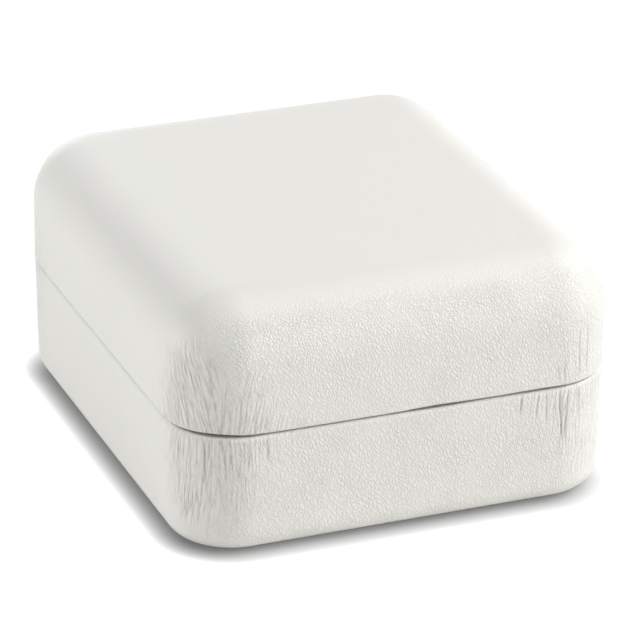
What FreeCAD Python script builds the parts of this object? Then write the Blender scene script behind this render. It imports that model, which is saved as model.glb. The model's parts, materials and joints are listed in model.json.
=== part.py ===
import FreeCAD, Part
import math
import os

# Outside of the closed box, in mm
width = 65.0
depth = 75.0
height = 37.0
seam_drop = 0.2
seam_gap = 0.3
base_step = 0.3
plan_corner = 9.9
corner_margin = 0.5
foot_round = 3.0
well_round = 0.5
lid_rim_round = 0.5
base_rim_round = 0.8
inner_rim_round = 0.3

# Leatherette, moulded walls and underside
skin = 0.7
base_wall = 1.4
lid_wall = base_wall + base_step
floor_sheet = 1.6
turn_in = 5.0
turn_under = 7.0
cover_stand = 0.2
cover_gap = 0.2

# Lining strips
liner_sheet = 1.0
liner_recess = 1.2

# Padding in the base
platform_top = 6.5
platform_card = 1.2
pad_top = 12.6
pad_gap = 0.3
pad_slit = 0.6
pad_round = 2.8
slit_corner = 3.2
velvet_sheet = 0.6

# Padding in the lid
lid_board_card = 1.0
lid_board_gap = 0.1
lid_liner_gap = 0.05
lid_pad_drop = 3.4
lid_pad_gap = 0.4
lid_pad_round = 2.0
satin_sheet = 0.4

# Hinge
leaf_sheet = 0.6
leaf_length = 34.0
leaf_end_gap = 0.3
pin_radius = 0.7
pin_gap = 0.04
pin_head_radius = 1.0
pin_head = 0.4
base_knuckle = 5.8
knuckle_gap = 0.2
knuckle_room = 0.3
notch_room = 0.4
notch_end = 1.0
nose_length = 8.0
nose_round = 0.5
nose_room = 0.35
leaf_corner = 1.5
open_angle = 100.0
curl_open_angle = 64.0

# Snap spring and rivets
spring_sheet = 0.3
spring_tongue = 7.0
spring_edge = 2.5
spring_foot_height = 3.6
spring_top = 0.6
rivet_radius = 0.8
rivet_gap = 0.05
rivet_head_radius = 1.5
rivet_head = 0.3
rivet_sink = 0.7
rivet_edge = 4.0

# Working values
overrun = 2.0
match = 0.001
half_turn = 180.0
quarter_turn = 90.0
corner_middle_share = 0.5

# Levels and faces that follow from them
seam_level = height / 2 - seam_drop
lid_rim = seam_level + seam_gap / 2
base_rim = seam_level - seam_gap / 2
top_round = plan_corner - corner_margin
inner_offset = skin + lid_wall
turn_offset = inner_offset + skin
liner_offset = turn_offset + liner_sheet
inner_back = depth / 2 - inner_offset
bore_radius = pin_radius + pin_gap
knuckle_radius = bore_radius + leaf_sheet
axis_y = inner_back + bore_radius
axis_z = seam_level
shell_foot = cover_stand + skin
floor_level = shell_foot + floor_sheet
rim_clear = seam_gap / 2
bevel_angle = open_angle / 2
notch_length = leaf_length + 2 * notch_end
leaf_face = inner_back - leaf_sheet
leaf_start = knuckle_radius + knuckle_room
leaf_reach = height - top_round - axis_z - leaf_end_gap
rivet_spread = leaf_length / 2 - rivet_edge
lid_ceiling = height - inner_offset
dome = top_round - inner_offset
dome_start = lid_ceiling - dome
liner_rise = math.sqrt(dome * dome - (dome - skin) * (dome - skin))
lid_board_level = dome_start + liner_rise - lid_liner_gap
lid_knuckle = leaf_length - 2 * (base_knuckle + knuckle_gap)


def at_angle(degrees, radius):
    # Point of the hinge cross-section, measured from the hinge axis
    turn = math.radians(degrees)
    return FreeCAD.Vector(0, axis_y + radius * math.cos(turn), axis_z + radius * math.sin(turn))


def outline(left, right, front, back, front_corner, back_corner, level):
    # Flat face with four rounded corners
    corners = [
        (right - front_corner, front + front_corner, front_corner, -quarter_turn),
        (right - back_corner, back - back_corner, back_corner, 0),
        (left + back_corner, back - back_corner, back_corner, quarter_turn),
        (left + front_corner, front + front_corner, front_corner, half_turn),
    ]
    arcs = []
    for x, y, radius, start in corners:
        points = []
        for share in (0, corner_middle_share, 1):
            turn = math.radians(start + share * quarter_turn)
            points.append(FreeCAD.Vector(x + radius * math.cos(turn), y + radius * math.sin(turn), level))
        arcs.append(points)
    edges = []
    for index, points in enumerate(arcs):
        edges.append(Part.Arc(points[0], points[1], points[2]).toShape())
        following = arcs[(index + 1) % len(arcs)]
        edges.append(Part.makeLine(points[2], following[0]))
    return Part.Face(Part.Wire(edges))


def edges_at(shape, level):
    # Edges that lie flat at one level
    found = []
    for edge in shape.Edges:
        if all(abs(vertex.Z - level) < match for vertex in edge.Vertexes):
            found.append(edge)
    return found


def rounded_block(inset, low, high, low_round, high_round):
    # Block that follows the outline of the lid, inset all round
    half_width = width / 2 - inset
    half_depth = depth / 2 - inset
    corner = plan_corner - inset
    face = outline(-half_width, half_width, -half_depth, half_depth, corner, corner, low)
    block = face.extrude(FreeCAD.Vector(0, 0, high - low))
    if high_round > 0:
        block = block.makeFillet(high_round, edges_at(block, high))
    if low_round > 0:
        block = block.makeFillet(low_round, edges_at(block, low))
    return block


def round_inner_rim(shape, level):
    # Soft edge where the leatherette turns inwards
    edges = []
    for edge in edges_at(shape, level):
        inside_width = all(abs(vertex.X) < width / 2 - turn_offset + match for vertex in edge.Vertexes)
        inside_depth = all(abs(vertex.Y) < depth / 2 - turn_offset + match for vertex in edge.Vertexes)
        if inside_width and inside_depth:
            edges.append(edge)
    return shape.makeFillet(inner_rim_round, edges)


def box(left, right, front, back, low, high):
    corner = FreeCAD.Vector(left, front, low)
    return Part.makeBox(right - left, back - front, high - low, corner)


def section_prism(points, left, right):
    # Straight prism along X from a polygon in the hinge cross-section
    moved = [FreeCAD.Vector(left, point.y, point.z) for point in points]
    moved.append(moved[0])
    face = Part.Face(Part.makePolygon(moved))
    return face.extrude(FreeCAD.Vector(right - left, 0, 0))


def along_x(radius, left, right):
    # Round bar on the hinge axis
    start = FreeCAD.Vector(left, axis_y, axis_z)
    return Part.makeCylinder(radius, right - left, start, FreeCAD.Vector(1, 0, 0))


def back_bevel(side, layer):
    # Wedge that clears the back rim for opening; side is 1 for the lid and -1 for the base
    clear = rim_clear + layer
    turn = math.radians(bevel_angle)
    start = clear * (math.cos(turn) * math.tan(turn / 2) - math.sin(turn))
    rise = (depth - axis_y) * math.tan(turn)
    points = [
        FreeCAD.Vector(0, axis_y + start, axis_z + side * clear),
        FreeCAD.Vector(0, axis_y + start + depth - axis_y, axis_z + side * (clear + rise)),
        FreeCAD.Vector(0, axis_y + start + depth - axis_y, axis_z - side * overrun),
        FreeCAD.Vector(0, axis_y + start, axis_z - side * overrun),
    ]
    return section_prism(points, -width / 2 - overrun, width / 2 + overrun)


def hinge_notch():
    # Slot through both back walls that takes the hinge barrel
    room = knuckle_radius + notch_room
    front = inner_back - skin - overrun
    back = depth / 2 + overrun
    return box(-notch_length / 2, notch_length / 2, front, back, axis_z - room, axis_z + room)


def turn_in_notch(low, high):
    # The turned-in leatherette is left out behind the hinge leaf
    return box(-notch_length / 2, notch_length / 2, inner_back - skin - overrun, inner_back, low, high)


def rivet(x, level, inner_face, outer_face, grow):
    # Rivet along Y with a flat inner head and a sunk outer head; grow widens it for its hole
    way = FreeCAD.Vector(0, 1, 0)
    shank_length = outer_face - inner_face
    shank = Part.makeCylinder(rivet_radius + grow, shank_length, FreeCAD.Vector(x, inner_face, level), way)
    sink_start = FreeCAD.Vector(x, outer_face - rivet_sink, level)
    sink = Part.makeCone(rivet_radius + grow, rivet_head_radius + grow, rivet_sink, sink_start, way)
    whole = shank.fuse(sink)
    if grow == 0:
        head_start = FreeCAD.Vector(x, inner_face - rivet_head, level)
        whole = whole.fuse(Part.makeCylinder(rivet_head_radius, rivet_head, head_start, way))
    return whole.removeSplitter()


def pad(front, back, low, high, front_corner, back_corner, rounding, inset):
    # Cushion block with a rounded top
    half_width = width / 2 - liner_offset - pad_gap - inset
    corner_front = front_corner - inset
    corner_back = back_corner - inset
    face = outline(-half_width, half_width, front + inset, back - inset, corner_front, corner_back, low)
    block = face.extrude(FreeCAD.Vector(0, 0, high - inset - low))
    return block.makeFillet(rounding - inset, edges_at(block, high - inset))


def knuckle(side, left, right):
    # Rolled end of a leaf: a flat tab and an open curl round the pin
    far = axis_z + side * leaf_start
    tab = box(left, right, leaf_face, inner_back, min(axis_z, far), max(axis_z, far))
    ring = along_x(knuckle_radius, left, right).cut(along_x(bore_radius, left - overrun, right + overrun))
    reach = 2 * knuckle_radius
    wedge = section_prism(
        [
            at_angle(0, 0),
            at_angle(half_turn, reach),
            at_angle(half_turn - side * curl_open_angle, reach),
        ],
        left - overrun,
        right + overrun,
    )
    return tab.fuse(ring.cut(wedge))


def leaf_plate(side):
    # Flat plate of a leaf with two rounded far corners
    near = axis_z + side * leaf_start
    far = axis_z + side * leaf_reach
    plate = box(-leaf_length / 2, leaf_length / 2, leaf_face, inner_back, min(near, far), max(near, far))
    corners = []
    for edge in plate.Edges:
        if all(abs(vertex.Z - far) < match for vertex in edge.Vertexes):
            if abs(edge.Vertexes[0].X - edge.Vertexes[1].X) < match:
                corners.append(edge)
    return plate.makeFillet(leaf_corner, corners)


def drill(shape, level, outer_face):
    # Two rivet holes
    for x in (-rivet_spread, rivet_spread):
        shape = shape.cut(rivet(x, level, leaf_face - overrun, outer_face, rivet_gap))
    return shape


base_back = depth / 2 - base_step - skin
lid_back = depth / 2 - skin
rivet_drop = (leaf_start + leaf_reach) / 2
base_rivet_level = axis_z - rivet_drop
lid_rivet_level = axis_z + rivet_drop
nodes = {}

# Base shell and its leatherette
base_outer = rounded_block(base_step, cover_stand, base_rim, foot_round, base_rim_round)
base_core = rounded_block(base_step + skin, shell_foot, base_rim - skin, foot_round - skin, 0)
base_core = base_core.cut(back_bevel(-1, skin))
base_well = rounded_block(inner_offset, floor_level, base_rim + overrun, well_round, 0)
base_shell = base_core.cut(base_well).cut(hinge_notch())
nodes["base_shell"] = drill(base_shell, base_rivet_level, base_back)

base_turn_level = base_rim - turn_in
base_mouth = rounded_block(turn_offset, base_turn_level, base_rim + overrun, 0, 0)
base_below_turn = rounded_block(inner_offset, floor_level, base_turn_level, well_round, 0)
base_window = rounded_block(base_step + turn_under, cover_stand - overrun, shell_foot, 0, 0)
base_wrap = round_inner_rim(base_outer.cut(base_mouth), base_rim)
base_wrap = base_wrap.cut(back_bevel(-1, 0)).cut(base_core.cut(base_well))
base_wrap = base_wrap.cut(base_below_turn).cut(base_window)
base_wrap = base_wrap.cut(hinge_notch()).cut(turn_in_notch(base_turn_level - overrun, base_rim + overrun))
nodes["base_wrap"] = base_wrap

nodes["bottom_cover"] = rounded_block(base_step + turn_under + cover_gap, 0, shell_foot, 0, 0)

# Lining strip of the base, open behind the hinge
hinge_window = box(
    -notch_length / 2,
    notch_length / 2,
    inner_back - skin - liner_sheet - overrun,
    depth / 2,
    axis_z - leaf_reach - notch_room,
    axis_z + leaf_reach + notch_room,
)
base_liner = rounded_block(turn_offset, floor_level, base_rim - liner_recess, 0, 0)
base_liner = base_liner.cut(rounded_block(liner_offset, floor_level - overrun, base_rim + overrun, 0, 0))
nodes["base_liner"] = base_liner.cut(hinge_window)

# Platform and the two pads of the insert
platform = rounded_block(liner_offset + pad_gap, floor_level, platform_top, 0, 0)
under = rounded_block(
    liner_offset + pad_gap + platform_card, floor_level - overrun, platform_top - platform_card, 0, 0
)
nodes["insert_platform"] = platform.cut(under)
pad_corner = plan_corner - liner_offset - pad_gap
pad_end = depth / 2 - liner_offset - pad_gap
front_span = (-pad_end, -pad_slit / 2, platform_top, pad_top, pad_corner, slit_corner, pad_round)
rear_span = (pad_slit / 2, pad_end, platform_top, pad_top, slit_corner, pad_corner, pad_round)
for name, span in (("front", front_span), ("rear", rear_span)):
    foam = pad(*span, velvet_sheet)
    nodes["insert_foam_" + name] = foam
    nodes["insert_velvet_" + name] = pad(*span, 0).cut(foam)

# Lid shell and its leatherette
lid_outer = rounded_block(0, lid_rim, height, lid_rim_round, top_round)
lid_core = rounded_block(skin, lid_rim + skin, height - skin, 0, top_round - skin)
lid_core = lid_core.cut(back_bevel(1, skin))
lid_well = rounded_block(inner_offset, lid_rim - overrun, lid_ceiling, 0, dome)
lid_shell = lid_core.cut(lid_well).cut(hinge_notch())
nodes["lid_shell"] = drill(lid_shell, lid_rivet_level, lid_back)

lid_turn_level = lid_rim + turn_in
lid_mouth = rounded_block(turn_offset, lid_rim - overrun, lid_turn_level, 0, 0)
lid_above_turn = lid_well.cut(box(-width, width, -depth, depth, lid_rim - 2 * overrun, lid_turn_level))
lid_wrap = round_inner_rim(lid_outer.cut(lid_mouth), lid_rim)
lid_wrap = lid_wrap.cut(back_bevel(1, 0)).cut(lid_core.cut(lid_well))
lid_wrap = lid_wrap.cut(lid_above_turn)
lid_wrap = lid_wrap.cut(hinge_notch()).cut(turn_in_notch(lid_rim - overrun, lid_turn_level + overrun))
nodes["lid_wrap"] = lid_wrap

# Lining strip of the lid
lid_liner = rounded_block(turn_offset, lid_rim + liner_recess, lid_board_level, 0, 0)
lid_liner = lid_liner.cut(rounded_block(liner_offset, lid_rim - overrun, lid_board_level + overrun, 0, 0))
nodes["lid_liner"] = lid_liner.cut(hinge_window)

# Pad of the lid: board, foam and satin
board_top = lid_board_level + lid_board_card
board_rise = board_top - dome_start
dome_inset = dome - math.sqrt(dome * dome - board_rise * board_rise)
board_inset = inner_offset + dome_inset + lid_board_gap
nodes["lid_pad_board"] = rounded_block(board_inset, lid_board_level, board_top, 0, 0)
satin_inset = liner_offset + lid_pad_gap
pad_low = lid_board_level - lid_pad_drop
satin = rounded_block(satin_inset, pad_low, lid_board_level, lid_pad_round, 0)
lid_foam = rounded_block(
    satin_inset + satin_sheet, pad_low + satin_sheet, lid_board_level, lid_pad_round - satin_sheet, 0
)
nodes["lid_pad_foam"] = lid_foam
nodes["lid_pad_satin"] = satin.cut(lid_foam)

# Base leaf with two end knuckles; its middle stays clear of the nose
half_leaf = leaf_length / 2
base_leaf = leaf_plate(-1)
for left, right in ((-half_leaf, -half_leaf + base_knuckle), (half_leaf - base_knuckle, half_leaf)):
    base_leaf = base_leaf.fuse(knuckle(-1, left, right))
turn = math.radians(bevel_angle)
nose_radius = (knuckle_radius - nose_round) / math.cos(turn) + nose_round
nose_floor = axis_z - nose_radius - nose_room
base_leaf = base_leaf.cut(
    box(-nose_length, nose_length, leaf_face - overrun, inner_back + overrun, nose_floor, axis_z)
)
base_leaf = base_leaf.removeSplitter()
nodes["hinge_base_leaf"] = drill(base_leaf, base_rivet_level, base_back)

# Lid leaf with the long middle knuckle and the nose that works the spring
lid_leaf = leaf_plate(1).fuse(knuckle(1, -lid_knuckle / 2, lid_knuckle / 2))
nose_centre_radius = (knuckle_radius - nose_round) / math.cos(turn)
nose_middle = half_turn + bevel_angle
nose_end = half_turn + open_angle
nose_centre = at_angle(nose_middle, nose_centre_radius)


def nose_point(degrees):
    # Point on the rounded tip of the nose
    way = math.radians(degrees)
    return nose_centre + FreeCAD.Vector(0, nose_round * math.cos(way), nose_round * math.sin(way))


heel = at_angle(half_turn, knuckle_radius)
toe = at_angle(nose_end, knuckle_radius)
nose_edges = [
    Part.makeLine(at_angle(0, 0), heel),
    Part.makeLine(heel, nose_point(half_turn)),
    Part.Arc(nose_point(half_turn), nose_point(nose_middle), nose_point(nose_end)).toShape(),
    Part.makeLine(nose_point(nose_end), toe),
    Part.makeLine(toe, at_angle(0, 0)),
]
nose = Part.Face(Part.Wire(nose_edges)).extrude(FreeCAD.Vector(nose_length, 0, 0))
nose.translate(FreeCAD.Vector(-nose_length / 2, 0, 0))
nose = nose.cut(along_x(bore_radius, -nose_length, nose_length))
lid_leaf = lid_leaf.fuse(nose).removeSplitter()
nodes["hinge_lid_leaf"] = drill(lid_leaf, lid_rivet_level, lid_back)

# Pin with two upset ends
pin_half = half_leaf + knuckle_gap
pin = along_x(pin_radius, -pin_half, pin_half)
pin = pin.fuse(along_x(pin_head_radius, -pin_half - pin_head, -pin_half))
pin = pin.fuse(along_x(pin_head_radius, pin_half, pin_half + pin_head))
nodes["hinge_pin"] = pin.removeSplitter()

# Snap spring: a tongue on a wide foot
spring_face = leaf_face - spring_sheet
foot_half = spring_foot_height / 2
foot = box(
    -rivet_spread - spring_edge,
    rivet_spread + spring_edge,
    spring_face,
    leaf_face,
    base_rivet_level - foot_half,
    base_rivet_level + foot_half,
)
tongue = box(
    -spring_tongue / 2, spring_tongue / 2, spring_face, leaf_face, base_rivet_level, axis_z + spring_top
)
spring = foot.fuse(tongue).removeSplitter()
nodes["snap_spring"] = drill(spring, base_rivet_level, base_back)

# Rivets
base_rivets = []
lid_rivets = []
for x in (-rivet_spread, rivet_spread):
    base_rivets.append(rivet(x, base_rivet_level, spring_face, base_back, 0))
    lid_rivets.append(rivet(x, lid_rivet_level, leaf_face, lid_back, 0))
nodes["hinge_base_rivets"] = Part.makeCompound(base_rivets)
nodes["hinge_lid_rivets"] = Part.makeCompound(lid_rivets)

os.makedirs("parts", exist_ok=True)
for name, shape in nodes.items():
    shape.exportStep("parts/" + name + ".step")
    bounds = shape.BoundBox
    print(name, len(shape.Solids), shape.isValid(), round(shape.Volume, 2), end=" ")
    print([round(value, 3) for value in (bounds.XMin, bounds.YMin, bounds.ZMin)], end=" ")
    print([round(value, 3) for value in (bounds.XMax, bounds.YMax, bounds.ZMax)])
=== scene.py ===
import json
import math
import bmesh
import bpy
import numpy as np
from functools import partial
from mathutils import Matrix, Vector, noise


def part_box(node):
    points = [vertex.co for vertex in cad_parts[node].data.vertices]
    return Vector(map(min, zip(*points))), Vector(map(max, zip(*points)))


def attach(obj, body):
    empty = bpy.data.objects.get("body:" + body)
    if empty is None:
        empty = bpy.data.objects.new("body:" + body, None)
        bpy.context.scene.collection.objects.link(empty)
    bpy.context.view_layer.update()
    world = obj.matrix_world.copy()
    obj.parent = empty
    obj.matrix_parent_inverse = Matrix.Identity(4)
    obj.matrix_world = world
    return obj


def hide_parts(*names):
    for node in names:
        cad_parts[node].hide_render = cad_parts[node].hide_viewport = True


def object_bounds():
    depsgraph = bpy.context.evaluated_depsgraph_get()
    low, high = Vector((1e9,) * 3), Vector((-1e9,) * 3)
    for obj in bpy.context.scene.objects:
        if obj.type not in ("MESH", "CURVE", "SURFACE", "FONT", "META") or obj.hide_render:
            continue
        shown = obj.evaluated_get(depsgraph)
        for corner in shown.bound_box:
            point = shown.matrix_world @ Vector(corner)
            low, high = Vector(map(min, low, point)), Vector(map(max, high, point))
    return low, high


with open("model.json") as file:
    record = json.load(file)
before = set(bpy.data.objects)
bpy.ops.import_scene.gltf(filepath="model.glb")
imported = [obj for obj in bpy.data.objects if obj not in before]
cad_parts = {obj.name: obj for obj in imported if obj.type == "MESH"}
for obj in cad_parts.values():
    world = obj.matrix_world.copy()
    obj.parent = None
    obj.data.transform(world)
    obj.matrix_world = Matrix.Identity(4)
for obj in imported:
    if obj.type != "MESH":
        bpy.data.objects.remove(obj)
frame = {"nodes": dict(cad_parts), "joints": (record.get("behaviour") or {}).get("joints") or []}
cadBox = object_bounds()
nodes = frame["nodes"]
mm = 0.001
print("frame loaded with", len(nodes), "CAD nodes")


def linear(hexText):
    # sRGB hex to the linear colour that a socket holds
    parts = [int(hexText[i:i + 2], 16) / 255 for i in (1, 3, 5)]
    return [p / 12.92 if p <= 0.04045 else ((p + 0.055) / 1.055) ** 2.4 for p in parts] + [1]


def addNode(tree, kind, settings=None, links=None, out=0):
    # lower-case keys are properties of the node, the others are its sockets; gives back one of its outputs
    node = tree.nodes.new("ShaderNode" + kind)
    for key, value in (settings or {}).items():
        if isinstance(key, str) and key[0].islower():
            setattr(node, key, value)
        else:
            node.inputs[key].default_value = value
    plug(node, links or {})
    return node.outputs[out]


def plug(node, links):
    for key, source in links.items():
        node.id_data.links.new(source, node.inputs[key])


def tones(low, high):
    # settings of a Mix node between two colours
    return {"data_type": "RGBA", 6: linear(low), 7: linear(high)}


def startMaterial(name, settings):
    material = bpy.data.materials.new(name)
    material.use_nodes = True
    add = partial(addNode, material.node_tree)
    shader = material.node_tree.nodes["Principled BSDF"]
    for key, value in settings.items():
        shader.inputs[key].default_value = value
    return material, add, shader, add("TexCoord", out="Object")


# PU leatherette, embossed by a grained roller and pulled over the shell: soft broad gloss, slanting pebbles
# between fine creases, and close upright gathers where it goes round a corner
leatheretteLook = {
    "film": "#EDECE7",
    # crease: painted shade down in the grain's creases
    "crease": "#E2E0DA",
    # fold is painted shade, down between the gathers and in the deep creases
    "fold": "#AFAAA1",  # down between the gathers, where hardly any light comes
    "pebble": (1.0, 0.41),  # mm along and across a pebble of the grain
    "slant": (63, 18),  # degrees that the pebbles lean on the front and in plan
    "push": 0.9,  # how far the pebbles are pushed about, in pebbles
    "finer": 1.8,  # a second set of pebbles is this much finer
    "finerShare": 0.28,
    "pebbleWall": 0.27,  # share of a pebble that slopes down to the crease
    "pebbleDepth": 0.09,
    "patch": 5.0,  # mm across the areas where the embossing came out deeper
    "gathers": ((0.55, 6.0), (0.9, 12.0)),  # mm across and along a gather, for the fine and the wide ones
    "wideShare": 0.3,
    "gatherWall": 0.3,
    "gatherDepth": 0.2,
    "sway": (0.35, 0.12, 0.9),  # turns per mm along and up, and how far the gathers sway, in mm
    "press": (1.9, 0.5),  # per mm along and up: how quickly a gather fades in and out
    "thinness": 2.9,  # the higher, the thinner the dark line between two gathers
    "roughness": (0.44, 0.6),  # up on the pebbles, down in the creases
}


def embossedLeatherette():
    look = leatheretteLook
    material, add, shader, place = startMaterial("puLeatheretteEmbossed", {"IOR": 1.48})
    # the crease attribute says where shade is painted down the deep creases
    grainShare, gatherShare, creaseShadeShare = (
        add("Attribute", {"attribute_name": name}, out="Fac") for name in ("grain", "gather", "crease"))

    # pebbles: long cells with rounded tops, pushed about so that no two are alike
    long, wide = (size * mm for size in look["pebble"])
    leanFront, leanPlan = (math.radians(angle) for angle in look["slant"])
    cells = add("Mapping", {"vector_type": "TEXTURE", "Rotation": (0, leanFront, leanPlan),
                            "Scale": (long, wide, wide)}, {"Vector": place})
    push = add("TexNoise", {"Scale": 0.7, "Detail": 2.0}, {"Vector": cells}, "Color")
    pushed = add("VectorMath", {"operation": "MULTIPLY_ADD", 1: [look["push"]] * 3}, {0: push, 2: cells})
    tops = []
    for scale in (1.0, look["finer"]):
        edge = add("TexVoronoi", {"feature": "DISTANCE_TO_EDGE", "Scale": scale},
                   {"Vector": pushed}, "Distance")
        tops.append(add("MapRange", {"interpolation_type": "SMOOTHSTEP", "From Max": look["pebbleWall"]},
                        {"Value": edge}))
    pebbles = add("Mix", {0: look["finerShare"]}, {2: tops[0], 3: tops[1]})
    patches = add("TexNoise", {"Scale": 1 / (look["patch"] * mm), "Detail": 2.0}, {"Vector": place}, "Fac")
    deeper = add("MapRange", {"From Min": 0.35, "From Max": 0.65, "To Min": 0.75}, {"Value": patches})
    depth = add("Math", {"operation": "MULTIPLY"}, {0: deeper, 1: grainShare})
    grain = add("Math", {"operation": "MULTIPLY"}, {0: pebbles, 1: depth})

    # gathers: narrow valleys that run away from the rim, on the map laid out in mm along rim and wall
    hide = add("UVMap", {"uv_map": "hideMap"})
    slowAlong, slowUp, swing = look["sway"]
    slow = add("VectorMath", {"operation": "MULTIPLY", 1: (slowAlong, slowUp, 0)}, {0: hide})
    sway = add("TexNoise", {"noise_dimensions": "2D", "Scale": 1.0, "Detail": 3.0},
               {"Vector": slow}, "Color")
    swayed = add("VectorMath", {"operation": "MULTIPLY_ADD", 1: (swing, 0, 0)}, {0: sway, 2: hide})
    ridges = []
    for across, along in look["gathers"]:
        fold = add("VectorMath", {"operation": "MULTIPLY", 1: (1 / across, 1 / along, 0)}, {0: swayed})
        edge = add("TexVoronoi", {
            "voronoi_dimensions": "2D", "feature": "DISTANCE_TO_EDGE", "Scale": 1.0, "Randomness": 0.8},
            {"Vector": fold}, "Distance")
        ridges.append(add("MapRange", {"From Max": look["gatherWall"]}, {"Value": edge}))
    ridge = add("Mix", {0: look["wideShare"]}, {2: ridges[0], 3: ridges[1]})
    uneven = add("VectorMath", {"operation": "MULTIPLY", 1: (*look["press"], 0)}, {0: swayed})
    press = add("TexNoise", {"noise_dimensions": "2D", "Scale": 1.0, "Detail": 2.0},
                {"Vector": uneven}, "Fac")
    pressed = add("MapRange", {"From Min": 0.36, "From Max": 0.6, "To Min": 0.42}, {"Value": press})
    gatherShare = add("Math", {"operation": "MULTIPLY"}, {0: gatherShare, 1: pressed})
    gathers = add("Math", {"operation": "MULTIPLY"}, {0: ridge, 1: gatherShare})

    grainBump = add("Bump", {"Distance": look["pebbleDepth"] * mm}, {"Height": grain})
    gatherBump = add("Bump", {"Distance": look["gatherDepth"] * mm},
                     {"Height": gathers, "Normal": grainBump})
    grainHollow = add("Math", {"operation": "SUBTRACT"}, {0: depth, 1: grain})
    gatherHollow = add("Math", {"operation": "SUBTRACT"}, {0: gatherShare, 1: gathers})
    hollow = add("Math", {"operation": "MAXIMUM"}, {0: grainHollow, 1: gatherHollow})
    rough = add("MapRange", dict(zip(("To Min", "To Max"), look["roughness"])), {"Value": hollow})
    # painted shade: the grain's creases are darker the deeper they go
    shadedCreases = add("Mix", tones(look["film"], look["crease"]), {0: grainHollow}, 2)
    # painted shade: a thin dark line down between the gathers and along the deep creases, in the fold
    # colour
    between = add("Math", {"operation": "SUBTRACT", 0: 1.0}, {1: ridge})
    shadeLine = add("Math", {"operation": "POWER", 1: look["thinness"]}, {0: between})
    gatherShade = add("Math", {"operation": "MULTIPLY"}, {0: shadeLine, 1: gatherShare})
    paintedShade = add("Math", {"operation": "MAXIMUM"}, {0: gatherShade, 1: creaseShadeShare})
    colour = add("Mix", {"data_type": "RGBA", 7: linear(look["fold"])}, {0: paintedShade, 6: shadedCreases}, 2)
    plug(shader, {"Base Color": colour, "Roughness": rough, "Normal": gatherBump})
    return material


# cotton velvet, woven and shorn: no gloss, a pale rim where the pile stands edge on, brushed patches
velvetLook = {
    "pile": "#F3F1EA",
    "shade": "#E3DFD5",
    "tuft": 0.3,  # mm; the true pile is about 0.08 mm and too fine to show, so it is drawn coarser
    "tuftDepth": 0.12,
    "tuftShare": 0.45,  # of the tone; the rest comes from the nap
    "nap": 9.0,  # mm across a brushed patch
}


def shornVelvet():
    look = velvetLook
    material, add, shader, place = startMaterial("cottonVelvetShorn", {
        "Roughness": 0.95, "Specular IOR Level": 0.15, "Sheen Weight": 0.55, "Sheen Roughness": 0.4})
    perTuft = add("VectorMath", {"operation": "SCALE", "Scale": 1 / (look["tuft"] * mm)}, {0: place})
    tufts = add("TexNoise", {"Scale": 1.0, "Detail": 3.0, "Roughness": 0.7}, {"Vector": perTuft}, "Fac")
    nap = add("TexNoise", {"Scale": look["tuft"] / look["nap"], "Detail": 2.0, "Distortion": 0.8},
              {"Vector": perTuft}, "Fac")
    napTone = add("MapRange", {"From Min": 0.32, "From Max": 0.66}, {"Value": nap})
    tone = add("Mix", {0: look["tuftShare"]}, {2: napTone, 3: tufts})
    colour = add("Mix", tones(look["shade"], look["pile"]), {0: tone}, 2)
    bump = add("Bump", {"Distance": look["tuftDepth"] * mm}, {"Height": tufts})
    plug(shader, {"Base Color": colour, "Normal": bump})
    return material


# polyester satin, woven with long floats: a streaky gloss along the threads
satinLook = {
    "thread": "#F4F2EC",
    "between": "#DFDBD1",
    "spacing": 0.36,  # mm; true threads lie 0.1 mm apart and would not show, so they are drawn coarser
    "threadDepth": 0.02,
    "slub": (0.9, 0.05, 0.05),  # streaks of thick thread, in turns per thread across and along
    "slubShare": 0.5,
    "roughness": (0.46, 0.28),
}


def wovenSatin():
    look = satinLook
    material, add, shader, place = startMaterial("polyesterSatinWoven", {
        "Anisotropic": 0.55, "Sheen Weight": 0.2, "Sheen Roughness": 0.3})
    perThread = add("VectorMath", {"operation": "SCALE", "Scale": 1 / (look["spacing"] * mm)}, {0: place})
    floats = add("TexWave", {
        "bands_direction": "X", "Scale": 0.314, "Distortion": 0.6, "Detail": 2.0, "Detail Scale": 0.3},
        {"Vector": perThread}, "Fac")
    slub = add("VectorMath", {"operation": "MULTIPLY", 1: look["slub"]}, {0: perThread})
    streaks = add("TexNoise", {"Scale": 1.0, "Detail": 3.0}, {"Vector": slub}, "Fac")
    tone = add("Mix", {0: look["slubShare"]}, {2: floats, 3: streaks})
    colour = add("Mix", tones(look["between"], look["thread"]), {0: tone}, 2)
    rough = add("MapRange", dict(zip(("To Min", "To Max"), look["roughness"])), {"Value": streaks})
    bump = add("Bump", {"Distance": look["threadDepth"] * mm}, {"Height": floats})
    plug(shader, {"Base Color": colour, "Roughness": rough, "Normal": bump})
    return material


# hard finishes: each has two tones, a grain size in mm along X and across it, a depth and a roughness range
hardLooks = {
    "nickelPlatedSteel": {  # rolled sheet with bright plate: warm grey mirror, drawn lines along the roll
        "tones": ("#BDBBB6", "#DBD9D5"), "grain": (6.0, 0.09), "depth": 0.004, "roughness": (0.34, 0.18),
        "metallic": 1.0},
    "springSteelTempered": {  # tempered strip: darker, with a faint straw bloom
        "tones": ("#7D7F84", "#9A9388"), "grain": (4.0, 0.12), "depth": 0.004, "roughness": (0.42, 0.26),
        "metallic": 1.0},
    "polystyreneMoulded": {  # injection moulded and left unpainted: satin, with soft flow marks
        "tones": ("#DDD9CE", "#E9E6DD"), "grain": (3.0, 1.2), "depth": 0.02, "roughness": (0.52, 0.4)},
    "whiteLinedCard": {  # paper-faced card: matt, with a fine felt of fibres
        "tones": ("#DCD9D1", "#E8E6E0"), "grain": (0.7, 0.25), "depth": 0.03, "roughness": (0.95, 0.8)},
    "greyBoardPressed": {  # recycled board: matt grey with flecks
        "tones": ("#8F897E", "#ABA498"), "grain": (0.9, 0.35), "depth": 0.05, "roughness": (0.98, 0.86)},
}
cloudSize = 4.0  # mm across the uneven areas that every hard finish has
cloudShare = 0.5


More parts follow.
